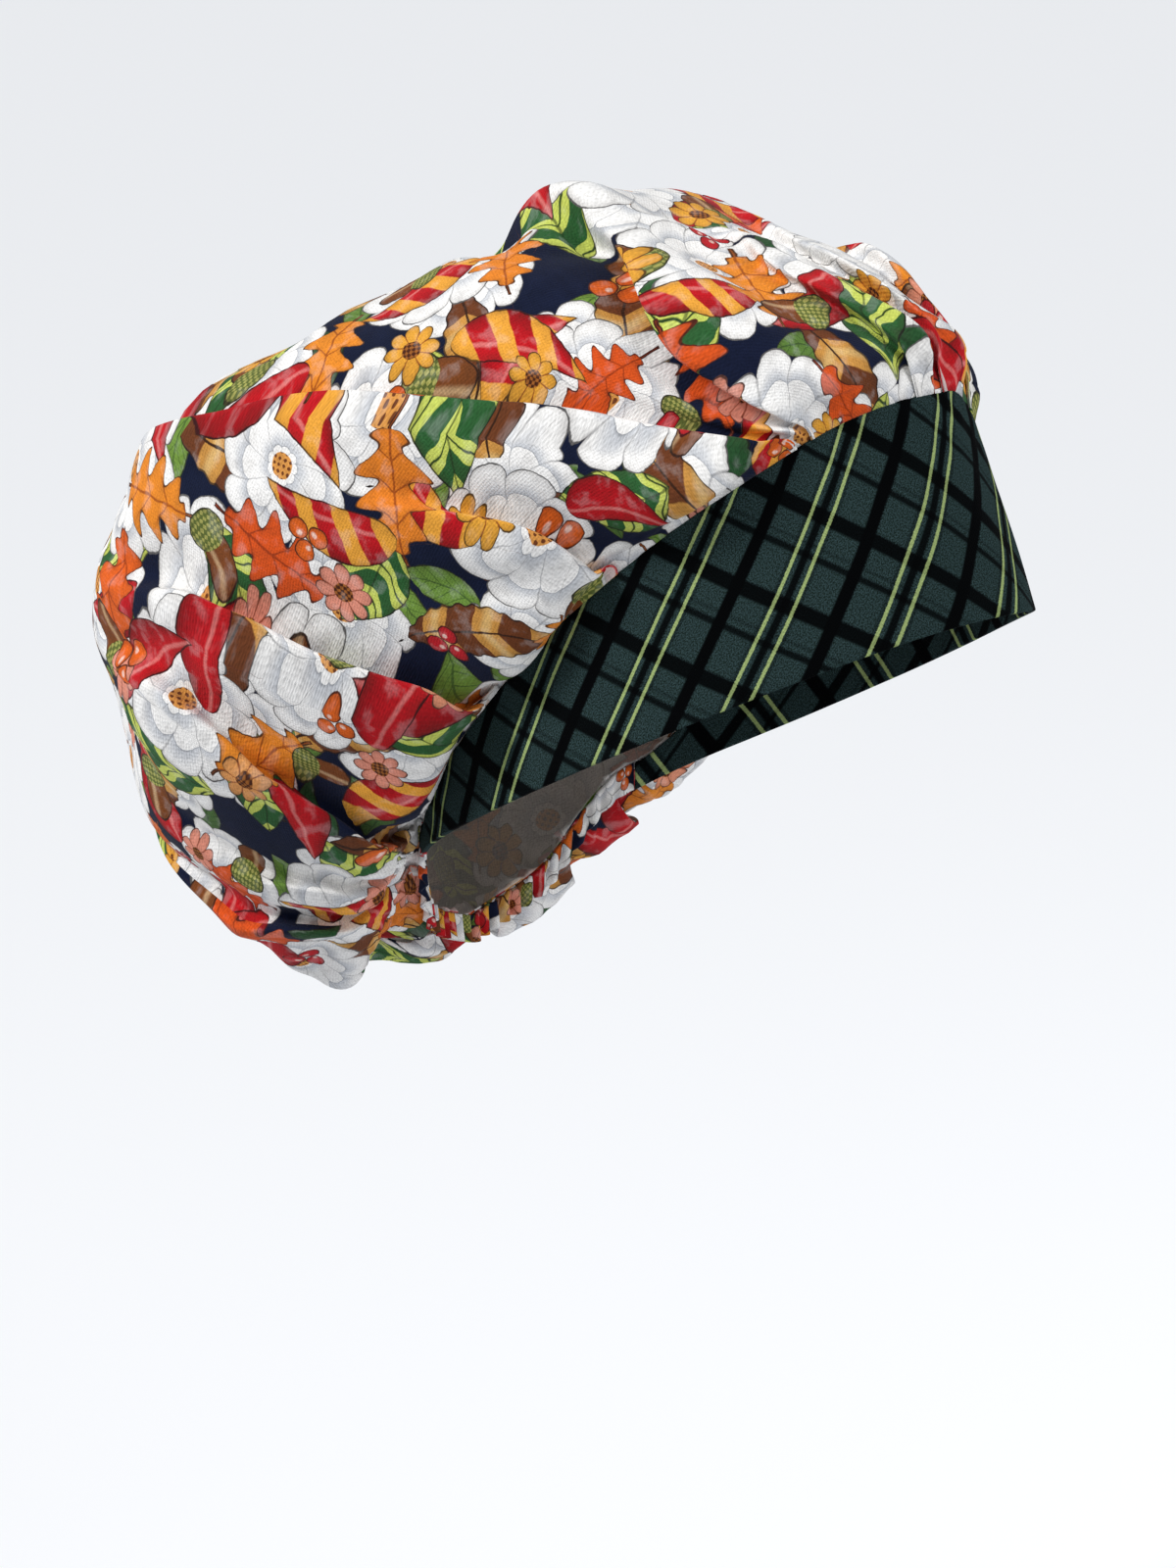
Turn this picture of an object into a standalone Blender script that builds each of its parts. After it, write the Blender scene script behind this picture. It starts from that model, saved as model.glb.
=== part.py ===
# Scrub cap: a roomy gathered bag of printed cotton on a bias-cut forehead band, with a gathered
# hem round the nape. It keeps the form that it has on a head, and the hollow for the head is open.
#
# Metres, +Z up. The cap faces -Y. The origin lies inside the opening, level with the band's lower
# edge at the brow, so the nape hangs well below it. Round the head, angles run from 0 degrees at
# the brow to 180 at the nape, negative towards -X. Up the bag, v runs from 0 at its seam to 1.

import math

import bmesh
import bpy
from mathutils import Vector

# Opening for the head
HEAD_LENGTH = 0.198
HEAD_WIDTH = 0.158
RIM_TILT = math.radians(27.0)
NAPE_DIP = 0.034

# Forehead band
BAND_HEIGHT = 0.065
BAND_LEAN = 0.018
BAND_BOW = 0.0015
BAND_WALL = 0.0022
BAND_END = 138.0

# Nape hem
HEM_HEIGHT = 0.009
HEM_WALL = 0.0016
RUFFLE_DEPTH = 0.0018
RUFFLE_PITCH = 0.0105

# Bag
CROWN_REACH = 0.191
CROWN_WIDTH = 0.254
CROWN_RISE = 0.109
CROWN_DROP = 0.147
CROWN_WALL = 0.0014
COLLAR = 0.003
FOLD_DEPTH = 0.010
FOLD_WIDTH = 0.018
GATHER_DEPTH = 0.0042
GATHER_PITCH = 12.0
NAPE_FROM = 128.0
NAPE_BLEND = 5.0

# How far up the bag, in v, the cloth has left the line of its seam, the collar has gone, and the
# bulges, the pleats and the gathers have their full height
SEAM_LEFT = 0.12
COLLAR_GONE = 0.1
BULGE_FULL = 0.05
FOLD_FULL = 0.06
GATHER_FULL = 0.07

# Gap between pieces that are sewn together
CLEARANCE = 0.0003

# Cells of each sheet of cloth
BAND_CELLS = (66, 3)
HEM_CELLS = (80, 2)
CROWN_CELLS = (120, 19)

# How far the lower edge leaves its tilted plane: angle, dip as a share of NAPE_DIP
RIM_DIP = (
    (0, 0.0),
    (60, 0.0),
    (120, 0.0),
    (140, 0.06),
    (160, 0.76),
    (180, 1.0),
)

# The seam of the bag: angle, height as a share of the band's height over the hem's,
# lean towards the head and slide towards the back as shares of BAND_LEAN
SEAM = (
    (0, 1.0, 1.0, 0.0),
    (30, 1.036, 0.89, 0.0),
    (60, 0.946, 0.5, 0.0),
    (90, 0.66, 0.22, 0.11),
    (115, 0.268, 0.06, 0.17),
    (138, 0.0, 0.0, 0.0),
    (180, 0.0, 0.0, 0.0),
)

# Rings of the bag: v, y and z of the ring's front point, y and z of its back point, width as a
# share of CROWN_WIDTH, and squareness, where 2 is an ellipse. A y is a share of the way from the
# seam to CROWN_REACH, from the brow for a front point and from the nape for a back point. A z is
# a share of the bag's height above its lowest place.
CROWN = (
    (0.00, 0.000, 0.822, 0.000, 0.081, 0.589, 2.0),
    (0.08, 0.004, 0.876, 0.142, 0.039, 0.665, 2.0),
    (0.20, 0.070, 0.934, 0.240, 0.000, 0.764, 2.1),
    (0.35, 0.202, 0.980, 0.486, 0.020, 0.899, 2.3),
    (0.50, 0.371, 1.000, 0.749, 0.116, 1.000, 2.4),
    (0.65, 0.529, 0.962, 0.923, 0.266, 0.969, 2.4),
    (0.80, 0.672, 0.882, 1.000, 0.434, 0.785, 2.3),
    (0.92, 0.790, 0.786, 0.929, 0.556, 0.470, 2.1),
    (1.00, 0.904, 0.682, 0.716, 0.682, 0.000, 2.0),
)

# Where the cloth stands out or is dented: angle, v, height as a share of CROWN_WIDTH, reach
# round the bag in degrees, reach up the bag in v
BULGES = (
    (-8, 0.57, 0.046, 22, 0.12),
    (-24, 0.68, -0.018, 16, 0.09),
    (-72, 0.81, 0.028, 24, 0.12),
    (-108, 0.74, 0.014, 20, 0.12),
    (-122, 0.65, -0.034, 14, 0.08),
    (-161, 0.26, 0.027, 18, 0.10),
    (16, 0.42, -0.032, 16, 0.12),
    (20, 0.19, -0.034, 16, 0.12),
    (54, 0.11, -0.020, 18, 0.09),
    (-32, 0.12, -0.016, 12, 0.09),
    (46, 0.58, 0.026, 26, 0.14),
    (112, 0.72, 0.022, 24, 0.12),
    (146, 0.34, 0.020, 20, 0.12),
)

# Pleats that run up from the seam, in order round the bag: angle at v 0, 0.25, 0.5, 0.75 and 1,
# v where the pleat opens out, depth as a share of FOLD_DEPTH, width as a share of FOLD_WIDTH, and
# the side that laps over (1 towards +X at the front, -1 the other way)
FOLDS = (
    (-136, -110, -99, -114, -128, 0.58, 0.7, 0.9, -1),
    (-104, -90, -89, -98, -112, 0.66, 0.8, 1.0, -1),
    (-79, -67, -71, -85, -100, 0.38, 0.6, 0.9, -1),
    (-43, -49, -58, -73, -92, 0.88, 1.0, 1.0, -1),
    (-39, -35, -17, -15, -24, 0.54, 0.8, 1.0, 1),
    (-9, -11, -3, -5, -10, 0.44, 0.5, 0.7, 1),
    (2, -2, 7, 6, 2, 0.58, 0.6, 0.8, 1),
    (20, 10, 19, 20, 16, 0.40, 0.5, 0.8, 1),
    (46, 52, 60, 72, 88, 0.80, 0.9, 1.0, 1),
    (76, 73, 82, 94, 106, 0.52, 0.7, 0.9, 1),
    (105, 98, 104, 114, 124, 0.66, 0.8, 1.0, 1),
    (129, 118, 121, 129, 138, 0.50, 0.6, 0.9, 1),
)
FOLD_SPOTS = (0.0, 0.25, 0.5, 0.75, 1.0)

# Colour, roughness
FINISHES = {
    "forehead_band": ((0.022, 0.050, 0.043), 0.85),
    "bouffant_crown": ((0.42, 0.30, 0.22), 0.8),
    "nape_hem": ((0.42, 0.30, 0.22), 0.8),
}


def read_row(table, column, at):
    """A column of a table, read smoothly at a value of its first column without overshooting."""
    at = min(max(at, table[0][0]), table[-1][0])
    index = 0
    while index < len(table) - 2 and table[index + 1][0] < at:
        index += 1

    def rise(i):
        return (table[i + 1][column] - table[i][column]) / (table[i + 1][0] - table[i][0])

    def slope(i):
        if i == 0:
            return rise(0)
        if i == len(table) - 1:
            return rise(i - 1)
        before, after = rise(i - 1), rise(i)
        return 2 * before * after / (before + after) if before * after > 0 else 0.0

    step = table[index + 1][0] - table[index][0]
    q = (at - table[index][0]) / step
    low, high = table[index][column], table[index + 1][column]
    return (
        (2 * q**3 - 3 * q**2 + 1) * low
        + (q**3 - 2 * q**2 + q) * step * slope(index)
        + (3 * q**2 - 2 * q**3) * high
        + (q**3 - q**2) * step * slope(index + 1)
    )


def between(angle, other):
    """The angle from one place round the head to another, the short way."""
    return (angle - other + 180) % 360 - 180


def outward(angle):
    """The level direction away from the head at an angle round it."""
    turn = math.radians(angle)
    return Vector((math.sin(turn), -math.cos(turn), 0.0))


def rim(angle):
    """A point of the cap's lower edge."""
    turn = math.radians(angle)
    x = HEAD_WIDTH / 2 * math.sin(turn)
    y = -HEAD_LENGTH / 2 * math.cos(turn)
    plane = -math.tan(RIM_TILT) * (y + HEAD_LENGTH / 2)
    dip = NAPE_DIP * read_row(RIM_DIP, 1, abs(angle))
    return Vector((x, y, plane - dip))


def seam(angle):
    """A point of the seam where the bag meets the band and the hem."""
    height, lean, slide = (read_row(SEAM, column, abs(angle)) for column in (1, 2, 3))
    rise = HEM_HEIGHT + (BAND_HEIGHT - HEM_HEIGHT) * height
    return (
        rim(angle)
        - BAND_LEAN * lean * outward(angle)
        + Vector((0.0, BAND_LEAN * slide, rise))
    )


def ellipse_point(row, angle):
    """A point of one ring of the bag, whose front and back points the row gives."""
    front_y, front_z, back_y, back_z, width, square = row
    turn = math.radians(angle)
    power = 2.0 / square
    cosine = math.copysign(abs(math.cos(turn)) ** power, math.cos(turn))
    sine = math.copysign(abs(math.sin(turn)) ** power, math.sin(turn))
    share = (1 - cosine) / 2
    brow, nape = seam(0).y, seam(180).y
    front = brow + (CROWN_REACH - brow) * front_y
    back = nape + (CROWN_REACH - nape) * back_y
    y = front + (back - front) * share
    z = (CROWN_RISE + CROWN_DROP) * (front_z + (back_z - front_z) * share) - CROWN_DROP
    return Vector((CROWN_WIDTH / 2 * width * sine, y, z))


def crown_base(angle, v):
    """The bag without its folds: it leaves the seam, then swells into the rings of its table."""
    ring = [read_row(CROWN, column, v) for column in range(1, 7)]
    at_seam = seam(angle)
    along = (at_seam - rim(angle)).normalized()
    leave = at_seam - ellipse_point(CROWN[0][1:], angle)
    return (
        ellipse_point(ring, angle)
        + leave * math.exp(-((v / SEAM_LEFT) ** 1.2))
        + along * (CLEARANCE + COLLAR * math.exp(-v / COLLAR_GONE))
    )


def bulge_lift(angle, v):
    """How far the soft corners and dents move the cloth."""
    lift = 0.0
    for at, up, height, reach, reach_up in BULGES:
        away = (between(angle, at) / reach) ** 2 + ((v - up) / reach_up) ** 2
        lift += CROWN_WIDTH * height * math.exp(-away)
    return lift


def pleat(across):
    """A pleat's profile: a soft back, a steep lap and a shallow valley beside it."""
    if across > 0:
        return math.exp(-(across**2))
    return 1.35 * math.exp(-((across / 0.55) ** 2)) - 0.35 * math.exp(-(across**2))


def fold_angle(fold, v):
    """Where a pleat lies round the bag."""
    return read_row(tuple(zip(FOLD_SPOTS, fold)), 1, v)


def fold_lift(angle, v):
    """How far the pleats and the gathers at the nape move the cloth."""
    lift = 0.0
    girth = math.pi * CROWN_WIDTH * read_row(CROWN, 5, v)
    for fold in FOLDS:
        top, depth, width, lap = fold[5:]
        if v >= top:
            continue
        across = lap * between(angle, fold_angle(fold, v)) / 360 * girth / (FOLD_WIDTH * width)
        fade = (1 - math.exp(-((v / FOLD_FULL) ** 2))) * (1 - (v / top) ** 3)
        lift += FOLD_DEPTH * depth * fade * pleat(across)
    nape = 1 / (1 + math.exp((NAPE_FROM - abs(angle)) / NAPE_BLEND))
    swell = v / GATHER_FULL * math.exp(1 - v / GATHER_FULL)
    lift += GATHER_DEPTH * nape * swell * math.cos(2 * math.pi * (180 - abs(angle)) / GATHER_PITCH)
    return lift


def column_angle(s, v):
    """The angle of a column of cells. Columns run along the pleats, so that none is crossed."""
    lines = [(sum(fold[:3]) / 3, fold) for fold in FOLDS]
    first, last = lines[0], lines[-1]
    column = 360 * s - 180
    if column < first[0]:
        column += 360
    for (low, fold), (high, following) in zip(lines, lines[1:]):
        if low <= column <= high:
            start, end = fold_angle(fold, v), fold_angle(following, v)
            return start + (end - start) * (column - low) / (high - low)
    start, end = fold_angle(last[1], v), fold_angle(first[1], v) + 360
    angle = start + (end - start) * (column - last[0]) / (first[0] + 360 - last[0])
    return between(angle, 0)


def crown_point(s, t):
    """A point of the bag, s round it from nape to nape, t from the seam to the closed end."""
    rings = CROWN_CELLS[1]
    ring = round(t * rings)
    v = max(ring - 1, 0) / (rings - 1)
    angle = column_angle(s, v)
    if ring == 0:
        along = (seam(angle) - rim(angle)).normalized()
        return seam(angle) + along * CLEARANCE
    if ring == rings:
        angle = 0.0
    base = crown_base(angle, v)
    middle = Vector((0.0, (seam(0).y + CROWN_REACH) / 2, (CROWN_RISE - CROWN_DROP) / 2))
    lift = (bulge_lift(angle, v) + fold_lift(angle, v)) * min(v / BULGE_FULL, 1)
    return base + (base - middle).normalized() * lift


def band_point(s, t):
    """A point of the band, s from end to end, t from the lower edge to the seam."""
    angle = BAND_END * (2 * s - 1)
    bow = 4 * t * (1 - t) * BAND_BOW * (1 - abs(2 * s - 1))
    return rim(angle).lerp(seam(angle), t) + bow * outward(angle)


def hem_point(s, t):
    """A point of the nape hem, s from one band end round the nape to the other."""
    gap = math.degrees(CLEARANCE / (HEAD_WIDTH / 2))
    start = BAND_END + gap
    angle = start + (360 - 2 * start) * s
    signed = angle if angle <= 180 else angle - 360
    length = math.radians(360 - 2 * start) * HEAD_LENGTH / 2
    ruffles = max(round(length / RUFFLE_PITCH), 1)
    wave = math.sin(2 * math.pi * ruffles * s) * math.sin(math.pi * s) ** 0.5
    out = RUFFLE_DEPTH * wave * (1 - 0.7 * t)
    return rim(signed).lerp(seam(signed), t) + out * outward(signed)


def cloth(name, cells, place, wall):
    """A sheet of cloth: a flat grid whose points go where the function says, given its wall."""
    shape = bmesh.new()
    columns, rows = cells
    bmesh.ops.create_grid(shape, x_segments=columns, y_segments=rows, size=0.5)
    for vert in shape.verts:
        vert.co = place(vert.co.x + 0.5, vert.co.y + 0.5)
    bmesh.ops.remove_doubles(shape, verts=shape.verts, dist=1e-6)
    bmesh.ops.recalc_face_normals(shape, faces=shape.faces)
    mesh = bpy.data.meshes.new(name)
    shape.to_mesh(mesh)
    shape.free()
    mesh.shade_smooth()
    piece = bpy.data.objects.new(name, mesh)
    solidify = piece.modifiers.new("wall", "SOLIDIFY")
    solidify.thickness = wall
    solidify.offset = 0.0
    piece.data.materials.append(finish(name))
    collection.objects.link(piece)
    return piece


def finish(name):
    """The plain cloth colour of one piece."""
    colour, roughness = FINISHES[name]
    material = bpy.data.materials.new(name)
    material.use_nodes = True
    surface = material.node_tree.nodes["Principled BSDF"]
    surface.inputs["Base Color"].default_value = (*colour, 1.0)
    surface.inputs["Roughness"].default_value = roughness
    surface.inputs["Metallic"].default_value = 0.0
    return material


for old in list(bpy.data.objects):
    bpy.data.objects.remove(old)

collection = bpy.data.collections.new("scrub_cap")
bpy.context.scene.collection.children.link(collection)

cloth("forehead_band", BAND_CELLS, band_point, BAND_WALL)
cloth("nape_hem", HEM_CELLS, hem_point, HEM_WALL)
cloth("bouffant_crown", CROWN_CELLS, crown_point, CROWN_WALL)
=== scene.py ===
# %% [markdown]
# # A bouffant scrub cap
#
# A scrub cap of this kind is three pieces of cotton. A wide band of tartan, cut on the bias so
# that it stretches, crosses the brow and tapers behind the ears. A roomy bag of printed cotton is
# pleated into the band. A narrow gathered hem draws the bag in at the nape. The frame already
# holds plain solids of the three, and this script makes the cloth that is seen in their place.

# %% The frame
import math

import bmesh
import bpy
import numpy as np
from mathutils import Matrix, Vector, noise


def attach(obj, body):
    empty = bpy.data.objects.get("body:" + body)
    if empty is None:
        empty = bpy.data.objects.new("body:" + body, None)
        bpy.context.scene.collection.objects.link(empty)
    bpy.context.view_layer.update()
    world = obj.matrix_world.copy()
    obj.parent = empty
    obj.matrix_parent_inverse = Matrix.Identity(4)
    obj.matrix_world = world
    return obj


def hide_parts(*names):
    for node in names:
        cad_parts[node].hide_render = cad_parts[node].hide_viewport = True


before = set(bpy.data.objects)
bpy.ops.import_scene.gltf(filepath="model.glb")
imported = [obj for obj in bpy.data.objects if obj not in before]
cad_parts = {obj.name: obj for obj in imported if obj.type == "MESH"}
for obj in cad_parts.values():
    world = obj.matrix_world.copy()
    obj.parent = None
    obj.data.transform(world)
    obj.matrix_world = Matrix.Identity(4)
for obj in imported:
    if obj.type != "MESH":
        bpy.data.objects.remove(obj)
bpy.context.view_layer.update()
print("nodes:", sorted(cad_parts))

# %% [markdown]
# ## The camera
#
# A long lens from about 1.4 m away keeps the cap's proportions natural. The camera stands to the
# wearer's right, a little towards the front and a little above, and looks at a point inside the
# cap, so the cap lies in the upper part of the upright frame.

# %% Adding an object
def add(name, data):
    """A new object in the scene."""
    made = bpy.data.objects.new(name, data)
    bpy.context.scene.collection.objects.link(made)
    return made


def look_from(viewer, place, target):
    """Puts a camera or a lamp at a place, facing a target."""
    viewer.location = place
    viewer.rotation_euler = (target - place).to_track_quat("-Z", "Y").to_euler()


# %% Camera
VIEW_TURN = math.radians(39.0)
VIEW_RISE = math.radians(14.0)
VIEW_DISTANCE = 1.40
VIEW_CENTRE = Vector((-0.0824, -0.0161, -0.0476))
LENS = 109.1

back = Vector((
    -math.cos(VIEW_TURN) * math.cos(VIEW_RISE),
    -math.sin(VIEW_TURN) * math.cos(VIEW_RISE),
    math.sin(VIEW_RISE),
))
camera = add("camera", bpy.data.cameras.new("camera"))
camera.data.lens = LENS
look_from(camera, VIEW_CENTRE + back * VIEW_DISTANCE, VIEW_CENTRE)
bpy.context.scene.camera = camera
print("camera at:", [round(value, 3) for value in camera.location])

# %% [markdown]
# ## Lines that the cloth follows
#
# Cloth like this is easiest to describe by a few lines round the head: the lower edge, the seam
# of the bag, and rings up the bag. Each is a short table that is read smoothly. An angle runs
# round the head from 0 degrees at the brow to 180 at the nape, negative on the wearer's right.

# %% Measures of the head, the band and the bag
# Metres, and BAND_END in degrees round the head. RIM_TILT is the fall of the lower edge towards
# the nape, NAPE_DIP how far it hangs below that there, and BAND_LEAN how far the band leans in.
HEAD_LENGTH = 0.198
HEAD_WIDTH = 0.158
RIM_TILT = math.radians(27.0)
NAPE_DIP = 0.034
BAND_HEIGHT = 0.065
BAND_LEAN = 0.018
BAND_END = 138.0
SEAM_SAG = 0.009
HEM_HEIGHT = 0.009
BAG_REACH = 0.191
BAG_WIDTH = 0.254
BAG_RISE = 0.109
BAG_DROP = 0.147
print("bag:", BAG_WIDTH, "m wide,", round(BAG_RISE + BAG_DROP, 3), "m high")


# %% Reading a table
def read(table, column, at):
    """A column of a table read smoothly at values of its first column, without overshoot."""
    rows = np.array(table, float)
    x, y = rows[:, 0], rows[:, column]
    rise = np.diff(y) / np.diff(x)
    slope = np.zeros_like(y)
    same_way = rise[:-1] * rise[1:] > 0
    before, after = rise[:-1][same_way], rise[1:][same_way]
    slope[1:-1][same_way] = 2 * before * after / (before + after)
    slope[0], slope[-1] = rise[0], rise[-1]
    at = np.clip(at, x[0], x[-1])
    i = np.clip(np.searchsorted(x, at, "right") - 1, 0, len(x) - 2)
    step = x[i + 1] - x[i]
    q = (at - x[i]) / step
    return (
        (2 * q**3 - 3 * q**2 + 1) * y[i]
        + (q**3 - 2 * q**2 + q) * step * slope[i]
        + (3 * q**2 - 2 * q**3) * y[i + 1]
        + (q**3 - q**2) * step * slope[i + 1]
    )


def smooth(low, high, x):
    """0 below low, 1 above high, and a soft step between."""
    q = np.clip((np.asarray(x, float) - low) / (high - low), 0, 1)
    return q * q * (3 - 2 * q)


def stack(x, y, z):
    return np.stack(np.broadcast_arrays(x, y, z), -1)


def between(angle, other):
    """The angle from one place round the head to another, the short way."""
    return (angle - other + 180) % 360 - 180


print("halfway through a soft step:", smooth(0.0, 1.0, 0.5))

# %% The lower edge and the seam
# Columns: angle, dip below the tilted plane as a share of NAPE_DIP
RIM_DIP = ((0, 0.0), (60, 0.0), (120, 0.0), (140, 0.06), (160, 0.76), (180, 1.0))

# Columns: angle, height as a share of the band's over the hem's, lean and slide as shares of
# BAND_LEAN
SEAM = (
    (0, 1.0, 1.0, 0.0),
    (30, 1.036, 0.89, 0.0),
    (60, 0.946, 0.5, 0.0),
    (90, 0.66, 0.22, 0.11),
    (115, 0.268, 0.06, 0.17),
    (138, 0.0, 0.0, 0.0),
    (180, 0.0, 0.0, 0.0),
)


def outward(angle):
    turn = np.radians(angle)
    return stack(np.sin(turn), -np.cos(turn), 0.0)


def rim(angle):
    """The cap's lower edge."""
    turn = np.radians(angle)
    y = -HEAD_LENGTH / 2 * np.cos(turn)
    plane = -math.tan(RIM_TILT) * (y + HEAD_LENGTH / 2)
    dip = NAPE_DIP * read(RIM_DIP, 1, np.abs(angle))
    return stack(HEAD_WIDTH / 2 * np.sin(turn), y, plane - dip)


def seam(angle):
    """The seam that joins the bag to the band and the hem."""
    height, lean, slide = (read(SEAM, column, np.abs(angle)) for column in (1, 2, 3))
    rise = HEM_HEIGHT + (BAND_HEIGHT - HEM_HEIGHT) * height
    left = between(angle, 0.0)
    rise = rise - SEAM_SAG * smooth(3, 27, left) * (1 - smooth(45, 85, left))
    return (
        rim(angle)
        - (BAND_LEAN * lean)[..., None] * outward(angle)
        + stack(0.0, BAND_LEAN * slide, rise)
    )


print("seam at the brow:", seam(np.array([0.0])).round(3)[0])

# %% The rings of the bag
# Columns: v up the bag, y and z of the ring's front, y and z of its back, width, squareness
RINGS = (
    (0.00, 0.000, 0.822, 0.000, 0.081, 0.589, 2.0),
    (0.08, 0.004, 0.876, 0.142, 0.039, 0.665, 2.0),
    (0.20, 0.070, 0.934, 0.240, 0.000, 0.764, 2.1),
    (0.35, 0.202, 0.980, 0.486, 0.020, 0.899, 2.3),
    (0.50, 0.371, 1.000, 0.749, 0.116, 1.000, 2.4),
    (0.65, 0.529, 0.962, 0.923, 0.266, 0.969, 2.4),
    (0.80, 0.672, 0.882, 1.000, 0.434, 0.785, 2.3),
    (0.92, 0.790, 0.786, 0.929, 0.556, 0.470, 2.1),
    (1.00, 0.904, 0.682, 0.716, 0.682, 0.000, 2.0),
)

# Columns: angle, v, height as a share of BAG_WIDTH (negative for a hollow), reach in degrees
# round the bag, reach in v up it
BULGES = (
    (-5, 0.56, 0.038, 22, 0.12),
    (-24, 0.68, -0.010, 16, 0.09),
    (-66, 0.81, 0.028, 24, 0.12),
    (-108, 0.74, 0.014, 20, 0.12),
    (-119, 0.63, -0.034, 14, 0.08),
    (-146, 0.40, -0.020, 18, 0.10),
    (-157, 0.26, 0.028, 16, 0.10),
    (-172, 0.18, -0.020, 12, 0.06),
    (36, 0.07, -0.014, 12, 0.06),
    (16, 0.42, -0.032, 16, 0.12),
    (18, 0.15, -0.040, 16, 0.11),
    (54, 0.11, -0.020, 18, 0.09),
    (-32, 0.12, -0.016, 12, 0.09),
    (46, 0.58, 0.026, 26, 0.14),
    (112, 0.72, 0.022, 24, 0.12),
    (146, 0.34, 0.020, 20, 0.12),
)

print("rings:", len(RINGS), "bulges:", len(BULGES))

# %% The plain bag
# The seam's shape is felt up to about SEAM_FADE, as v. Just above the seam the cloth stands up
# like a low collar before it falls: metres up and out, and the v where each grows or fades.
SEAM_FADE = 0.12
COLLAR_UP = 0.0036
COLLAR_OUT = 0.0010
COLLAR_START = 0.012
COLLAR_UP_FADE = 0.1
COLLAR_OUT_FADE = 0.05
BULGE_START = 0.05


def ring_point(columns, angle):
    front_y, front_z, back_y, back_z, width, square = columns
    turn = np.radians(angle)
    power = 2.0 / square
    cosine = np.sign(np.cos(turn)) * np.abs(np.cos(turn)) ** power
    sine = np.sign(np.sin(turn)) * np.abs(np.sin(turn)) ** power
    share = (1 - cosine) / 2
    brow, nape = seam(np.array([0.0, 180.0]))[:, 1]
    front = brow + (BAG_REACH - brow) * front_y
    rear = nape + (BAG_REACH - nape) * back_y
    z = (BAG_RISE + BAG_DROP) * (front_z + (back_z - front_z) * share) - BAG_DROP
    return stack(BAG_WIDTH / 2 * width * sine, front + (rear - front) * share, z)


def unit(vectors):
    return vectors / np.maximum(np.linalg.norm(vectors, axis=-1, keepdims=True), 1e-9)


def bag_form(angle, v):
    """The bag without pleats: it leaves the seam, then swells into the rings."""
    ring = [read(RINGS, column, v) for column in range(1, 7)]
    at_seam = seam(angle)
    along = unit(at_seam - rim(angle))
    leave = at_seam - ring_point(RINGS[0][1:], angle)
    collar = COLLAR_UP * (1 - np.exp(-v / COLLAR_START)) * np.exp(-v / COLLAR_UP_FADE)
    point = (
        ring_point(ring, angle)
        + leave * np.exp(-((v / SEAM_FADE) ** 1.2))[..., None]
        + along * collar[..., None]
        + outward(angle) * (COLLAR_OUT * np.exp(-v / COLLAR_OUT_FADE))[..., None]
    )
    lift = np.zeros_like(v)
    for at, up, height, reach, reach_up in BULGES:
        away = (between(angle, at) / reach) ** 2 + ((v - up) / reach_up) ** 2
        lift += BAG_WIDTH * height * np.exp(-away)
    seam_front = BAND_LEAN - HEAD_LENGTH / 2
    middle = np.array([0.0, (seam_front + BAG_REACH) / 2, (BAG_RISE - BAG_DROP) / 2])
    return point + unit(point - middle) * (lift * np.minimum(v / BULGE_START, 1))[..., None]


print("top of the bag:", bag_form(np.array([0.0]), np.array([0.5])).round(3)[0])

# %% [markdown]
# ## Pleats
#
# The bag is far wider than the band, and the spare cloth is laid in pleats. In a pleat the cloth
# doubles back under itself, so it can't be made by raising the surface alone. Here each pleat is
# a zone of the sheet's columns that moves sideways as well as up, in the shape of a flat letter Z.
# The columns follow the pleats up the bag, so each folded edge stays sharp.

# %% Pleat table
# Columns: angle of the pleat at v 0, 0.25, 0.5, 0.75 and 1, v where it opens out, height at the
# seam and at its end (mm), half width (mm), columns of cloth beyond it, and the side that lies
# on top
PLEATS = (
    (-172, -160, -160, -166, -170, 0.34, 3.0, 4.0, 4.0, 6, 1),
    (-152, -135, -142, -150, -154, 0.50, 4.5, 6.0, 4.5, 6, -1),
    (-143, -125, -124, -132, -140, 0.44, 4.0, 4.0, 4.0, 5, -1),
    (-136, -110, -99, -114, -128, 0.62, 4.5, 7.0, 6.0, 18, -1),
    (-104, -90, -89, -98, -112, 0.70, 4.5, 7.5, 7.5, 16, -1),
    (-79, -67, -71, -85, -100, 0.42, 4.5, 4.5, 6.0, 14, -1),
    (-43, -49, -58, -73, -92, 0.92, 5.5, 6.0, 9.0, 10, -1),
    (-39, -35, -14, -10, -17, 0.62, 4.0, 9.0, 8.0, 20, 1),
    (-9, -11, 0, -1, -5, 0.44, 3.5, 4.0, 5.0, 6, 1),
    (2, -2, 9, 9, 6, 0.52, 4.0, 3.5, 6.0, 8, 1),
    (20, 10, 19, 20, 16, 0.40, 4.0, 4.0, 6.0, 16, 1),
    (46, 52, 60, 72, 88, 0.80, 4.5, 6.0, 8.0, 14, 1),
    (76, 73, 82, 94, 106, 0.52, 4.0, 5.0, 6.5, 14, 1),
    (105, 98, 104, 114, 124, 0.66, 4.5, 6.0, 7.0, 14, 1),
    (129, 118, 121, 129, 138, 0.50, 4.0, 5.0, 6.0, 10, 1),
    (143, 132, 136, 143, 149, 0.42, 4.0, 4.0, 4.5, 6, 1),
    (153, 146, 150, 155, 159, 0.36, 3.5, 4.0, 4.0, 6, 1),
    (165, 161, 162, 166, 169, 0.34, 3.0, 4.0, 4.0, 7, -1),
)
PLEAT_COLUMNS = 12

widths = [PLEAT_COLUMNS + row[9] for row in PLEATS]
BAG_COLUMNS = sum(widths) - sum(widths) % 2
print("pleats:", len(PLEATS), "columns round the bag:", BAG_COLUMNS)

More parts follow.
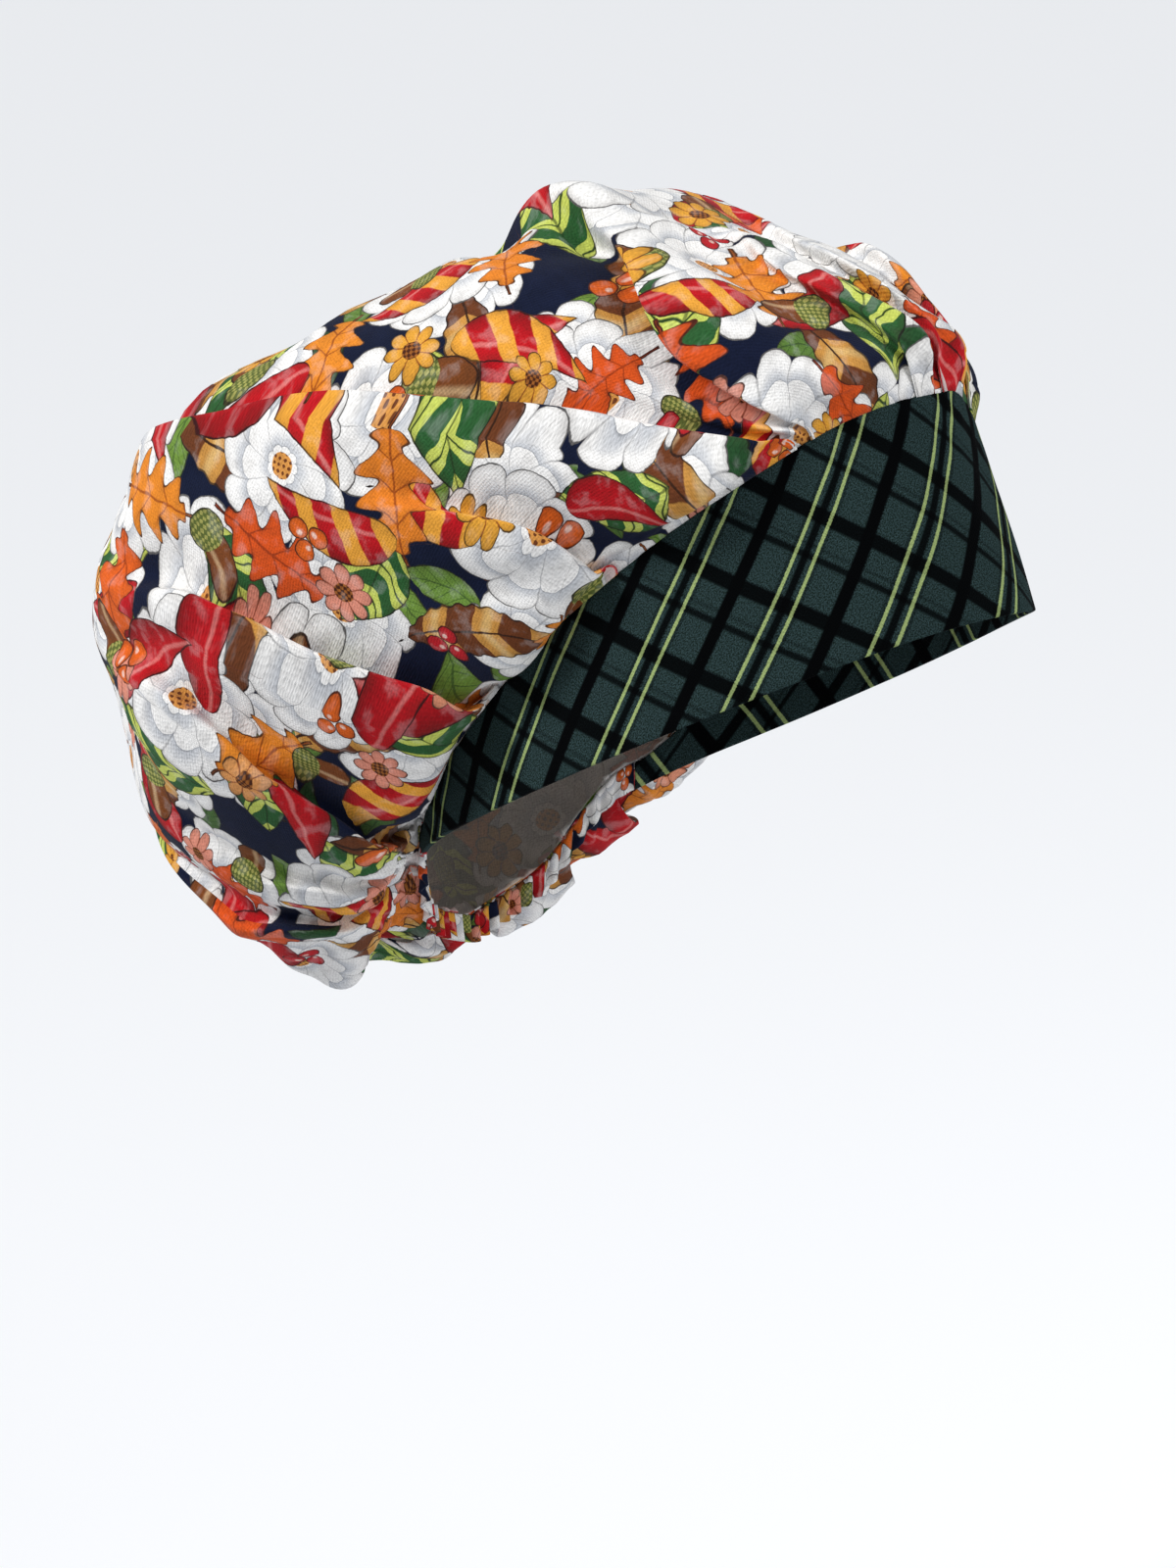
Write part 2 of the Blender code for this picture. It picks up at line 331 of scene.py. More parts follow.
# %% Creases
# Columns: angle and v where a soft crease starts, angle and v where it ends, height (mm, negative
# for a dent), half width (mm)
CREASES = (
    (-58, 0.04, -57, 0.30, 3.0, 9),
    (-68, 0.08, -80, 0.36, -2.5, 8),
    (-70, 0.46, -92, 0.74, 3.0, 10),
    (-84, 0.40, -102, 0.62, -2.5, 8),
    (-94, 0.03, -80, 0.24, 3.0, 8),
    (-100, 0.30, -112, 0.60, 3.0, 9),
    (-118, 0.06, -104, 0.26, 3.0, 8),
    (-124, 0.36, -116, 0.56, -4.0, 10),
    (-140, 0.20, -164, 0.30, -5.0, 9),
    (-132, 0.30, -156, 0.44, 4.0, 10),
    (-158, 0.07, -173, 0.26, -15.0, 10),
    (-24, 0.49, -2, 0.46, -4.0, 8),
    (-24, 0.53, -7, 0.69, -8.0, 8),
    (-50, 0.60, -30, 0.74, 3.0, 10),
    (-42, 0.50, -36, 0.78, -2.0, 10),
    (-26, 0.04, -28, 0.24, 3.0, 8),
    (-22, 0.12, -12, 0.40, -3.0, 7),
    (-4, 0.30, -12, 0.56, 3.0, 8),
    (10, 0.04, 12, 0.30, 3.0, 6),
    (14, 0.34, 12, 0.60, -3.0, 8),
    (32, 0.06, 34, 0.34, 3.0, 9),
    (30, 0.40, 40, 0.70, -3.0, 10),
    (60, 0.04, 62, 0.30, 3.0, 9),
    (70, 0.40, 86, 0.66, 3.0, 10),
    (90, 0.05, 86, 0.30, -3.0, 9),
    (104, 0.36, 116, 0.60, 3.0, 10),
    (118, 0.06, 108, 0.30, 3.0, 8),
    (138, 0.24, 162, 0.34, -5.0, 9),
    (130, 0.34, 150, 0.52, 4.0, 11),
)
print("creases:", len(CREASES))

# %% Where a column runs
OUTSIDE = 9.0  # stands for the place in a pleat of a point that is in none
PLEAT_ROOM = 0.3  # half a pleat takes at most this share of the way to the next one


def metres_round(v):
    """Metres a degree at each v, as if the bag were round."""
    return math.pi * BAG_WIDTH / 360 * np.maximum(read(RINGS, 5, v), 0.05)


def pleat_angles(v):
    """The angle of every pleat at each v, one row a pleat."""
    spots = np.array([0.0, 0.25, 0.5, 0.75, 1.0])
    return np.array([read(tuple(zip(spots, row[:5])), 1, v) for row in PLEATS])


def cloth_place(s, v, metres):
    """Angle, place in a pleat from -1 to 1 (or OUTSIDE), its number, half width and share of the
    way over the panel beyond it."""
    edges = np.cumsum([0] + [n for row in PLEATS for n in (PLEAT_COLUMNS, row[9])]) / sum(widths)
    angles = pleat_angles(v)
    following = np.roll(angles, -1, axis=0)
    following[-1] += 360
    room = following - angles
    half = np.array([row[8] / 1000 for row in PLEATS])[:, None] / metres[None, :]
    half = np.minimum(half, PLEAT_ROOM * np.minimum(room, np.roll(room, 1, axis=0)))
    segment = np.clip(np.searchsorted(edges, s, "right") - 1, 0, len(edges) - 2)
    share = (s - edges[segment]) / (edges[segment + 1] - edges[segment])
    pleat = segment // 2
    pick = np.arange(len(s))
    here, wide = angles[pleat, pick], half[pleat, pick]
    after = (pleat + 1) % len(PLEATS)
    gap_end = following[pleat, pick] - half[after, pick]
    inside = segment % 2 == 0
    u = np.where(inside, 2 * share - 1, OUTSIDE)
    angle = np.where(inside, here + wide * u, here + wide + (gap_end - here - wide) * share)
    return angle, u, pleat, wide, np.where(inside, 0.0, share)


print("pleat angles half-way up:", pleat_angles(np.array([0.5]))[:, 0].round(0))

# %% [markdown]
# ## The bag
#
# The bag starts as a flat grid, welded into a tube that is closed at one end. Before it gets its
# pleats it is unwrapped with a cut along each pleat, which gives every panel nearly its true flat
# shape. The print then lies undistorted, and it breaks at the pleats as it does on real cloth.

# %% Grid with its own coordinates
def cloth_grid(columns, rows):
    """A flat grid whose points remember where they lie: s round the bag and t up it. Its last row
    is drawn together to one point."""
    grid = bmesh.new()
    bmesh.ops.create_grid(grid, x_segments=columns, y_segments=rows, size=0.5)
    round_x = grid.verts.layers.float.new("round_x")
    round_y = grid.verts.layers.float.new("round_y")
    up = grid.verts.layers.float.new("up")
    for vert in grid.verts:
        s, t = vert.co.x + 0.5, vert.co.y + 0.5
        last = t > 1 - 0.5 / rows
        vert[round_x] = 0.0 if last else math.cos(2 * math.pi * s)
        vert[round_y] = 0.0 if last else math.sin(2 * math.pi * s)
        vert[up] = t
    return grid, (round_x, round_y, up)


def read_layers(grid, layers):
    """s and t of every point, as arrays."""
    x, y, up = (np.array([vert[layer] for vert in grid.verts]) for layer in layers)
    return (np.arctan2(y, x) / (2 * math.pi)) % 1.0, up


def put(grid, points):
    for vert, point in zip(grid.verts, points.tolist()):
        vert.co = point


def metres_per_degree(angle, v):
    """Metres a degree on the plain bag itself."""
    step = bag_form(angle + 1.0, v) - bag_form(angle - 1.0, v)
    return np.maximum(np.linalg.norm(step, axis=-1) / 2, 1e-4)


# %% Unwrapping the bag
def bag_up(t):
    """v of a row: the rows lie a little closer near the seam."""
    return 0.75 * t + 0.25 * t * t


def unwrap(grid, name):
    """Lays the sheet flat in metres, cut along the edges marked as seams."""
    mesh = bpy.data.meshes.new(name)
    grid.to_mesh(mesh)
    piece = add(name, mesh)
    bpy.context.view_layer.objects.active = piece
    mesh.uv_layers.new(name="cloth")
    bpy.ops.object.mode_set(mode="EDIT")
    bpy.ops.mesh.select_all(action="SELECT")
    bpy.ops.uv.unwrap(method="MINIMUM_STRETCH", margin=0.0)
    bpy.ops.object.mode_set(mode="OBJECT")
    flat = sum(abs(uv_area(mesh, face)) for face in mesh.polygons)
    size = math.sqrt(sum(face.area for face in mesh.polygons) / flat)
    for corner in mesh.uv_layers[0].data:
        corner.uv = corner.uv * size
    return piece, mesh


def uv_area(mesh, face):
    corners = [mesh.uv_layers[0].data[i].uv for i in face.loop_indices]
    return sum(a.cross(b) for a, b in zip(corners, corners[1:] + corners[:1])) / 2


# %% The flat bag
BAG_ROWS = 108

cage, layers = cloth_grid(BAG_COLUMNS // 2, BAG_ROWS // 2)
s, t = read_layers(cage, layers)
v = bag_up(t)
put(cage, bag_form(cloth_place(s, v, metres_round(v))[0], v))
bmesh.ops.remove_doubles(cage, verts=cage.verts, dist=1e-6)
cage.verts.ensure_lookup_table()
s, t = read_layers(cage, layers)
v = bag_up(t)
_, u, pleat, _, _ = cloth_place(s, v, metres_round(v))
fold = np.abs(u) < 1e-6
for edge in cage.edges:
    a, b = (vert.index for vert in edge.verts)
    along_fold = fold[a] and fold[b] and pleat[a] == pleat[b]
    edge.seam = bool(along_fold and max(v[a], v[b]) < PLEATS[pleat[a]][5])
print("cut edges:", sum(edge.seam for edge in cage.edges), "of", len(cage.edges))
bag, bag_mesh = unwrap(cage, "bouffant_crown_cloth")
cage.free()

# %% Creases and wrinkles
BAG_RUN = 0.27  # metres up the bag from v 0 to v 1
GATHER_PITCH = 4.5  # degrees
BROAD_WRINKLE = 0.0022
SEAM_WRINKLE = 0.0030
NAPE_GATHER = 0.0048


def crease_height(angle, v, metres):
    """Soft ridges and dents along short lines."""
    height = np.zeros_like(v)
    for angle_0, v_0, angle_1, v_1, tall, half in CREASES:
        middle = (angle_0 + angle_1) / 2
        x, y = between(angle, middle) * metres, v * BAG_RUN
        x_0, x_1 = (angle_0 - middle) * metres, (angle_1 - middle) * metres
        run_x, run_y = x_1 - x_0, (v_1 - v_0) * BAG_RUN
        share = ((x - x_0) * run_x + (y - v_0 * BAG_RUN) * run_y) / (run_x**2 + run_y**2)
        held = np.clip(share, 0, 1)
        off = (x - x_0 - held * run_x) ** 2 + (y - v_0 * BAG_RUN - held * run_y) ** 2
        taper = np.sin(math.pi * (0.12 + 0.76 * held))
        height += tall / 1000 * taper * np.exp(-off / (half / 1000) ** 2)
    return height


def bumps(angle, v, reach, rise, shift):
    """Uneven noise from about -1 to 1, finer round the bag or up it as reach and rise grow."""
    turn = np.radians(angle)
    places = zip(np.sin(turn) * reach + shift, np.cos(turn) * reach, v * rise)
    return np.array([noise.noise(Vector(place)) for place in places])


def ripple(angle, v):
    """Uneven wrinkles: broad ones, fine ones near the seam and tight gathers at the nape."""
    nape = smooth(108, 126, np.abs(between(angle, 0.0)))
    drift = 2.4 * bumps(angle, v, 5, 4, 3)
    gathers = np.abs(np.sin(math.pi * angle / GATHER_PITCH + drift)) - 0.6
    return (
        BROAD_WRINKLE * bumps(angle, v, 3, 6, 7)
        + SEAM_WRINKLE * bumps(angle, v, 9, 5, 0) * np.exp(-v / 0.22)
        + NAPE_GATHER * gathers * np.exp(-v / 0.10) * nape
    )


wrinkles = ripple(np.linspace(-180, 180, 361), np.full(361, 0.1))
print("wrinkles near the seam:", round(float(np.ptp(wrinkles)) * 1000, 1), "mm")

# %% Pleat shape
# How far a pleat doubles back, how far its raised panel and the valley beside it reach (metres,
# for a pleat of the usual half width in mm), the valley's depth as a share of the pleat's height,
# and the puff of the panels just above the seam
LAP = 0.78
PANEL_REACH = 0.026
USUAL_HALF = 8
VALLEY_REACH = 0.013
VALLEY_SHARE = 0.45
PUFF = 0.0040
PUFF_AT = 0.07


def pleat_shape(s, v):
    """Angle and height over the plain bag of every point of the pleated one."""
    angle, u, pleat, wide, share = cloth_place(s, v, metres_round(v))
    inside = u < OUTSIDE
    rows = np.array(PLEATS)
    side, top = rows[pleat, 10], rows[pleat, 5]
    lap = LAP * (1 - smooth(0.6, 1.0, v / top))
    across = np.where(inside, u - lap * np.sin(math.pi * np.clip(u, -1, 1)), 0.0)
    centre = angle - np.where(inside, wide * u, 0.0)
    angle = np.where(inside, centre + wide * across, angle)
    climb = smooth(-0.6, 0.6, np.where(inside, side * u, OUTSIDE))
    metres = metres_per_degree(angle, v)
    start = 0.12 + 0.88 * (1 - np.exp(-((v / 0.06) ** 2)))
    height = np.zeros_like(v)
    lines = pleat_angles(v)
    for i, row in enumerate(PLEATS):
        beyond = row[10] * between(angle, lines[i]) * metres
        over = np.where(inside & (pleat == i), climb, (beyond > 0).astype(float))
        done = v / row[5]
        tall = (row[6] + (row[7] - row[6]) * np.minimum(done, 1)) / 1000
        tall = tall * (1 - smooth(0.75, 1.2, done)) * start
        reach = PANEL_REACH * row[8] / USUAL_HALF
        height += tall * over * np.exp(-((np.maximum(beyond, 0) / reach) ** 2))
        valley = np.exp(-((np.minimum(beyond, 0) / VALLEY_REACH) ** 2))
        height -= VALLEY_SHARE * tall * (1 - over) * valley
    puff = v / PUFF_AT * np.exp(1 - v / PUFF_AT)
    height += PUFF * puff * np.sin(math.pi * share)
    height += (crease_height(angle, v, metres) + ripple(angle, v)) * np.minimum(v / 0.03, 1)
    return angle, height * smooth(1.0, 0.93, v)


# %% Putting the pleats in
LAST_RING = 0.985  # the rings above it are too small to give a direction


def bag_normal(angle, v):
    """Outward direction of the plain bag."""
    near, far = np.clip(v - 0.01, 0, LAST_RING), np.clip(v + 0.01, 0.01, 0.995)
    across = bag_form(angle + 1.5, v) - bag_form(angle - 1.5, v)
    up = bag_form(angle, far) - bag_form(angle, near)
    return unit(np.cross(across, up))


work = bmesh.new()
work.from_mesh(bag_mesh)
bmesh.ops.subdivide_edges(work, edges=work.edges, cuts=1, use_grid_fill=True)
layers = [work.verts.layers.float[name] for name in ("round_x", "round_y", "up")]
s, t = read_layers(work, layers)
v = bag_up(t)
angle, height = pleat_shape(s, v)
normal = bag_normal(angle, np.minimum(v, LAST_RING))
put(work, bag_form(angle, v) + normal * height[:, None])
work.to_mesh(bag_mesh)
work.free()
bag_mesh.shade_smooth()
print("bag:", len(bag_mesh.polygons), "faces")

# %% Cloth thickness
BAG_WALL = 0.0006

wall = bag.modifiers.new("cloth", "SOLIDIFY")
wall.thickness = BAG_WALL
wall.offset = -1.0
print("cloth:", round(BAG_WALL * 1000, 1), "mm")

# %% [markdown]
# ## The forehead band
#
# The band is one strip of tartan folded double, so it is made thicker than the bag, and its edges
# are rounded, for its lower edge is a fold.

# %% Strips of cloth
def strip_place(angle, t, out):
    """Points from the lower edge (t 0) to the seam (t 1), moved out by some metres."""
    return rim(angle) * (1 - t)[:, None] + seam(angle) * t[:, None] + out[:, None] * outward(angle)


def sheet_piece(name, columns, rows, place, flat, thickness):
    """A strip of cloth from a flat grid. Its pattern reads where each point lay in the flat."""
    strip = bmesh.new()
    strip.loops.layers.uv.new("cloth")
    bmesh.ops.create_grid(strip, x_segments=columns, y_segments=rows, size=0.5)
    where = np.array([(vert.co.x + 0.5, vert.co.y + 0.5) for vert in strip.verts])
    put(strip, place(where[:, 0], where[:, 1]))
    bmesh.ops.recalc_face_normals(strip, faces=strip.faces)
    mesh = bpy.data.meshes.new(name)
    strip.to_mesh(mesh)
    strip.free()
    corners = np.empty(len(mesh.loops), int)
    mesh.loops.foreach_get("vertex_index", corners)
    mesh.uv_layers[0].data.foreach_set("uv", flat(where[:, 0], where[:, 1])[corners].ravel())
    mesh.shade_smooth()
    piece = add(name, mesh)
    wall = piece.modifiers.new("cloth", "SOLIDIFY")
    wall.thickness = thickness
    wall.offset = 0.0
    print(name, len(mesh.polygons), "faces")
    return piece


# %% Form of the band
# Metres that the band stands out: its bow, its slack cloth, the puckers along the seam, and the
# flare of its lower edge, which is widest a little to the left of the brow (degrees)
BOW = 0.0015
SLACK = 0.0007
PUCKER = 0.00025
FLARE = 0.0045
FLARE_ANGLE = 16
FLARE_REACH = 24


def band_points(s, t):
    angle = BAND_END * (2 * s - 1)
    bow = 4 * t * (1 - t) * BOW * (1 - np.abs(2 * s - 1))
    slack = np.sin(13.0 * s * math.pi + 1.7) * 0.6 + np.sin(31.0 * s * math.pi + 4.0 * t) * 0.4
    pucker = np.sin(97.0 * s * math.pi + 3.0 * np.sin(23.0 * s)) * t**3
    flare = np.exp(-(((angle - FLARE_ANGLE) / FLARE_REACH) ** 2)) * (1 - t) ** 2
    out = bow + SLACK * slack * np.sin(math.pi * t) + PUCKER * pucker + FLARE * flare
    return strip_place(angle, t, out)


def along_rim(angles):
    """Metres along the lower edge from the brow."""
    spots = np.linspace(-BAND_END, BAND_END, 600)
    steps = np.linalg.norm(np.diff(rim(spots), axis=0), axis=1)
    run = np.concatenate([[0.0], np.cumsum(steps)])
    return np.interp(angles, spots, run - np.interp(0.0, spots, run))


def band_flat(s, t):
    """Where each point lies in the flat band, in metres."""
    angle = BAND_END * (2 * s - 1)
    height = np.linalg.norm(seam(angle) - rim(angle), axis=-1)
    return np.stack([along_rim(angle), t * height], -1)


print("band's lower edge:", round(float(along_rim(BAND_END) * 2), 3), "m")

# %% Band
BAND_COLUMNS = 220
BAND_ROWS = 14
BAND_WALL = 0.0022
EDGE_ROUND = 0.0009

band = sheet_piece(
    "forehead_band_cloth", BAND_COLUMNS, BAND_ROWS, band_points, band_flat, BAND_WALL
)
turned = band.modifiers.new("turned edge", "BEVEL")
turned.width = EDGE_ROUND
turned.segments = 3
turned.limit_method = "ANGLE"
turned.angle_limit = math.radians(60.0)

# %% [markdown]
# ## The hem at the nape
#
# The hem is a narrow tube of the bag's cloth, drawn up on an elastic. The elastic is hidden, so
# it is only seen by the ruffles, which are a wave along the strip that dies away to its ends.

# %% Hem
HEM_COLUMNS = 320
HEM_ROWS = 6
HEM_WALL = 0.0012
HEM_GAP = 0.2  # degrees between the band's end and the hem's
HEM_RUFFLES = 26
RUFFLE = 0.0018
HEM_LENGTH = 0.30  # metres of cloth that are drawn up
HEM_SLACK = 1.4
HEM_PRINT_AT = 0.5  # metres along the print


def hem_points(s, t):
    start = BAND_END + HEM_GAP
    angle = start + (360 - 2 * start) * s
    angle = np.where(angle > 180, angle - 360, angle)
    wave = np.sin(2 * math.pi * HEM_RUFFLES * s) * np.sin(math.pi * s) ** 0.5
    return strip_place(angle, t, RUFFLE * wave * (1 - 0.7 * t))


def hem_flat(s, t):
    """Where each point lies in the flat hem, in metres."""
    return np.stack([HEM_LENGTH * s + HEM_PRINT_AT, HEM_HEIGHT * HEM_SLACK * t], -1)


hem = sheet_piece("nape_hem_cloth", HEM_COLUMNS, HEM_ROWS, hem_points, hem_flat, HEM_WALL)

# %% [markdown]
# ## Patterns as formulas
#
# Both cottons carry a printed or woven pattern that could be a picture, but a picture would blur
# close up. Here the patterns are formulas in shader nodes that read the cloth's flat coordinates.
# A small class lets a formula be written with ordinary signs, and adds a node for each of them.

# %% Formulas as nodes
class Wire:
    """A value in a node tree that can be used in a formula."""

    def __init__(self, tree, socket):
        self.tree, self.socket = tree, socket

    def through(self, kind, operation, slots, others):
        """A new node that works on this value and others."""
        node = self.tree.nodes.new(kind)
        node.operation = operation
        for slot, value in zip((node.inputs[i] for i in slots), (self, *others)):
            feed(slot, value)
        return Wire(self.tree, node.outputs[0])

    def of(self, operation, *others):
        return self.through("ShaderNodeMath", operation, (0, 1, 2), others)

    def vector(self, operation, *others):
        """The same for a vector; SCALE takes a number."""
        slots = (0, "Scale") if operation == "SCALE" else (0, 1, 2)
        return self.through("ShaderNodeVectorMath", operation, slots, others)

    def split(self, kind="ShaderNodeSeparateXYZ"):
        """The three parts of a vector or a colour."""
        node = self.tree.nodes.new(kind)
        feed(node.inputs[0], self)
        return [Wire(self.tree, slot) for slot in node.outputs]

    def __add__(self, other):
        return self.of("ADD", other)

    def __sub__(self, other):
        return self.of("SUBTRACT", other)

    def __mul__(self, other):
        return self.of("MULTIPLY", other)

    def __truediv__(self, other):
        return self.of("DIVIDE", other)

    def __rsub__(self, other):
        return self * -1 + other

    __radd__, __rmul__ = __add__, __mul__

    def step(self, low, high, start=0.0, end=1.0):
        """Goes softly from start to end while the number goes from low to high."""
        node = self.tree.nodes.new("ShaderNodeMapRange")
        node.interpolation_type = "SMOOTHSTEP"
        titles = ("Value", "From Min", "From Max", "To Min", "To Max")
        for title, value in zip(titles, (self, low, high, start, end)):
            feed(node.inputs[title], value)
        return Wire(self.tree, node.outputs["Result"])

    def line(self, half, soft=0.15):
        """1 where the number is near 0, 0 elsewhere."""
        return self.of("ABSOLUTE").step(half - soft, half + soft, 1.0, 0.0)


def feed(slot, value):
    """Links a wire to a socket, or sets it to a plain value."""
    if isinstance(value, Wire):
        value.tree.links.new(value.socket, slot)
    else:
        slot.default_value = value


def wires(tree, node):
    """A node's outputs by name."""
    return {slot.name: Wire(tree, slot) for slot in node.outputs}


# %% Colours
def paint(code):
    """A screen colour such as B0141E as the linear colour that the shaders use."""
    shares = [int(code[i : i + 2], 16) / 255 for i in (0, 2, 4)]
    return (*(c / 12.92 if c <= 0.04045 else ((c + 0.055) / 1.055) ** 2.4 for c in shares), 1.0)


def blend(share, under, over):
    """One colour over another. The share and the colours are wires or plain values."""
    tree = next(value.tree for value in (share, under, over) if isinstance(value, Wire))
    node = tree.nodes.new("ShaderNodeMix")
    node.data_type = "RGBA"
    feed(node.inputs["Factor"], share)
    for slot, value in ((node.inputs[6], under), (node.inputs[7], over)):
        feed(slot, paint(value) if isinstance(value, str) else value)
    return Wire(tree, node.outputs[2])


print("navy:", [round(part, 3) for part in paint("0C1226")])

# %% Groups
KINDS = {"number": "NodeSocketFloat", "colour": "NodeSocketColor", "vector": "NodeSocketVector"}


def group(name, takes, gives, formula):
    """A node group whose formula gets its inputs by name and returns its outputs in order."""
    tree = bpy.data.node_groups.new(name, "ShaderNodeTree")
    for title, kind in takes:
        tree.interface.new_socket(title, in_out="INPUT", socket_type=KINDS[kind])
    for title, kind in gives:
        tree.interface.new_socket(title, in_out="OUTPUT", socket_type=KINDS[kind])
    enter, leave = tree.nodes.new("NodeGroupInput"), tree.nodes.new("NodeGroupOutput")
    results = formula(*(Wire(tree, enter.outputs[title]) for title, _ in takes))
    for slot, result in zip(leave.inputs, results):
        tree.links.new(result.socket, slot)
    return tree


def use(tree, shared, **values):
    """A shared group in a tree, with its inputs set; gives its outputs by name."""
    node = tree.nodes.new("ShaderNodeGroup")
    node.node_tree = shared
    for title, value in values.items():
        feed(node.inputs[title], value)
    return wires(tree, node)


def texture(kind, place, **settings):
    """A texture that reads a place, with its properties and inputs set by name."""
    node = place.tree.nodes.new(kind)
    feed(node.inputs["Vector"], place)
    for title, value in settings.items():
        if title.title() in node.inputs:
            feed(node.inputs[title.title()], value)
        else:
            setattr(node, title, value)
    return wires(place.tree, node)


def noise_of(place, scale, detail):
    return texture("ShaderNodeTexNoise", place, noise_dimensions="2D", scale=scale, detail=detail)


# %% [markdown]
# ## The print
#
# The print is a dense autumn toss on navy: large white blooms, striped leaves, barred feathers,
# red pods, oak leaves, acorns, small flowers and berries, with plain leaves on the ground between
# them. Each kind is one layer or two. A Voronoi texture scatters the places, and each place gets
# its own turn and size. The motif is a formula for the distance to its outline, in millimetres,
# and thin ink lines follow that outline.

# %% Scattering
SMALLEST = 0.95  # share of the size that a motif is drawn at
SIZE_RANGE = 0.25


def scatter_formula(cloth, spacing, shift, disorder):
    """Finds the nearest place of a motif, and gives millimetres from it in the motif's own turn."""
    rotate = cloth.tree.nodes.new("ShaderNodeVectorRotate")
    rotate.rotation_type = "Z_AXIS"
    feed(rotate.inputs["Vector"], cloth)
    feed(rotate.inputs["Angle"], shift)
    per_metre = spacing.of("POWER", -1.0) * 1000.0
    turned = Wire(cloth.tree, rotate.outputs[0])
    moved = turned.vector("SCALE", per_metre).vector("ADD", shift)
    cells = texture(
        "ShaderNodeTexVoronoi", moved, voronoi_dimensions="2D", scale=1.0, randomness=disorder
    )
    turn, chance, size = cells["Color"].split("ShaderNodeSeparateColor")
    size = size * SIZE_RANGE + SMALLEST
    away = moved.vector("SUBTRACT", cells["Position"]).split()
    x, y = (part * spacing / size for part in away[:2])
    turn = turn * (2 * math.pi)
    cosine, sine = turn.of("COSINE"), turn.of("SINE")
    return x * cosine + y * sine, y * cosine - x * sine, chance


scatter = group(
    "scatter",
    (("Cloth", "vector"), ("Spacing", "number"), ("Shift", "number"), ("Disorder", "number")),
    (("X", "number"), ("Y", "number"), ("Chance", "number")),
    scatter_formula,
)
print("scatter nodes:", len(scatter.nodes))


# %% Inking a motif over the print so far
def ink_formula(under, colour, distance, wash):
    """Lays a motif on, with a darker rim, washed colour and an uneven ink line."""
    inside = distance.step(-0.08, 0.08, 1.0, 0.0)
    near = distance.step(-2.4, 0.0)
    shaded = blend(near * 0.25 + wash.step(0.45, 0.8) * 0.2, colour, "3A2A22")
    lit = blend(wash.step(0.5, 0.3) * 0.10, shaded, "FFFFFF")
    inked = blend((distance + 0.12).line(wash * 0.5, 0.12) * 0.85, lit, "1C1718")
    return (blend(inside, under, inked),)


ink = group(
    "ink",
    (("Under", "colour"), ("Colour", "colour"), ("Distance", "number"), ("Wash", "number")),
    (("Colour", "colour"),),
    ink_formula,
)
print("ink nodes:", len(ink.nodes))


# %% Shapes that motifs share
# A motif's lengths are in millimetres.
def radius(x, y):
    return (x * x + y * y).of("SQRT")


def swell(x, reach):
    """1 in the middle of a leaf and 0 at its two tips."""
    part = x / reach
    return 1.0 - part * part


def either(one, other):
    """Two sets of ink lines drawn as one."""
    return (one + other).of("MINIMUM", 1.0)


# %% Flowers and fruit
def bloom(x, y, chance):
    """A many-petalled white bloom with grey shading and an ochre middle."""
    r = radius(x, y)
    petal = ((y.of("ARCTAN2", x) + r * 0.03) * 4.5).of("COSINE").of("ABSOLUTE")
    edge = petal.of("POWER", 0.5) * 4.0 + 18.0
    ring = (r / edge * 2.4 + 0.45).of("FRACT")
    white = blend(ring.step(0.5, 0.0) * 0.65, "F1EFEC", "A9AFB9")
    veins = either(petal.line(0.07, 0.05), ring.line(0.025, 0.025))
    veined = blend(veins * 0.45, white, "4E5058")
    seeds = (x * 2.6).of("SINE") * (y * 2.6).of("SINE")
    middle = blend(seeds.step(0.2, 0.5), "D8954A", "6E3B1E")
    return blend(r.step(3.3, 3.5, 1.0, 0.0), veined, middle), r - edge


def small_flower(x, y, chance):
    """A small flower with eight rays, ochre or peach."""
    r = radius(x, y)
    petal = (y.of("ARCTAN2", x) * 4.0).of("COSINE").of("ABSOLUTE")
    edge = petal.of("POWER", 0.7) * 2.6 + 5.2
    ray = blend(chance.step(0.45, 0.55), "E0A03A", "E2927C")
    lined = blend(petal.line(0.2, 0.12) * 0.8, ray, "8A3B1C")
    seeds = (x * 3.5).of("SINE") * (y * 3.5).of("SINE")
    heart = blend(seeds.step(-0.3, 0.4), "4A2414", "A0602A")
    return blend(r.step(2.4, 2.7, 1.0, 0.0), lined, heart), r - edge


def berries(x, y, chance):
    """Three round berries."""
    r = radius(x, y)
    fold = y.of("ARCTAN2", x).of("WRAP", math.pi / 3, -math.pi / 3)
    bx, by = r * fold.of("COSINE") - 3.6, r * fold.of("SINE")
    red = blend(chance.step(0.5, 0.55), "C2202A", "E0641F")
    glint = radius(bx + 1.0, by - 0.9).step(1.1, 0.5) * 0.7
    return blend(glint, red, "FBE3D6"), radius(bx, by) - 3.1


def pod(x, y, chance):
    """A curved red pod, some of them striped with orange."""
    t = ((x + 18.0) / 36.0).of("MAXIMUM", 0.0).of("MINIMUM", 1.0)
    bent = y + x * x * 0.016 - 1.5
    half = t.of("SQRT") * (1.0 - t) * 19.0
    stripe = ((x + bent * 0.6) / 11.0).of("PINGPONG", 0.5).step(0.24, 0.28)
    dark_side = (bent / half.of("MAXIMUM", 0.5)).step(-0.2, 1.0) * 0.6
    red = blend(dark_side, "BE1720", "6A0A12")
    shine = blend((bent + half * 0.4).line(0.55, 0.4) * 0.45, red, "F2A09A")
    striped = blend(stripe * chance.step(0.5, 0.52), shine, "E8A23C")
    return striped, (bent.of("ABSOLUTE") - half) * 0.85


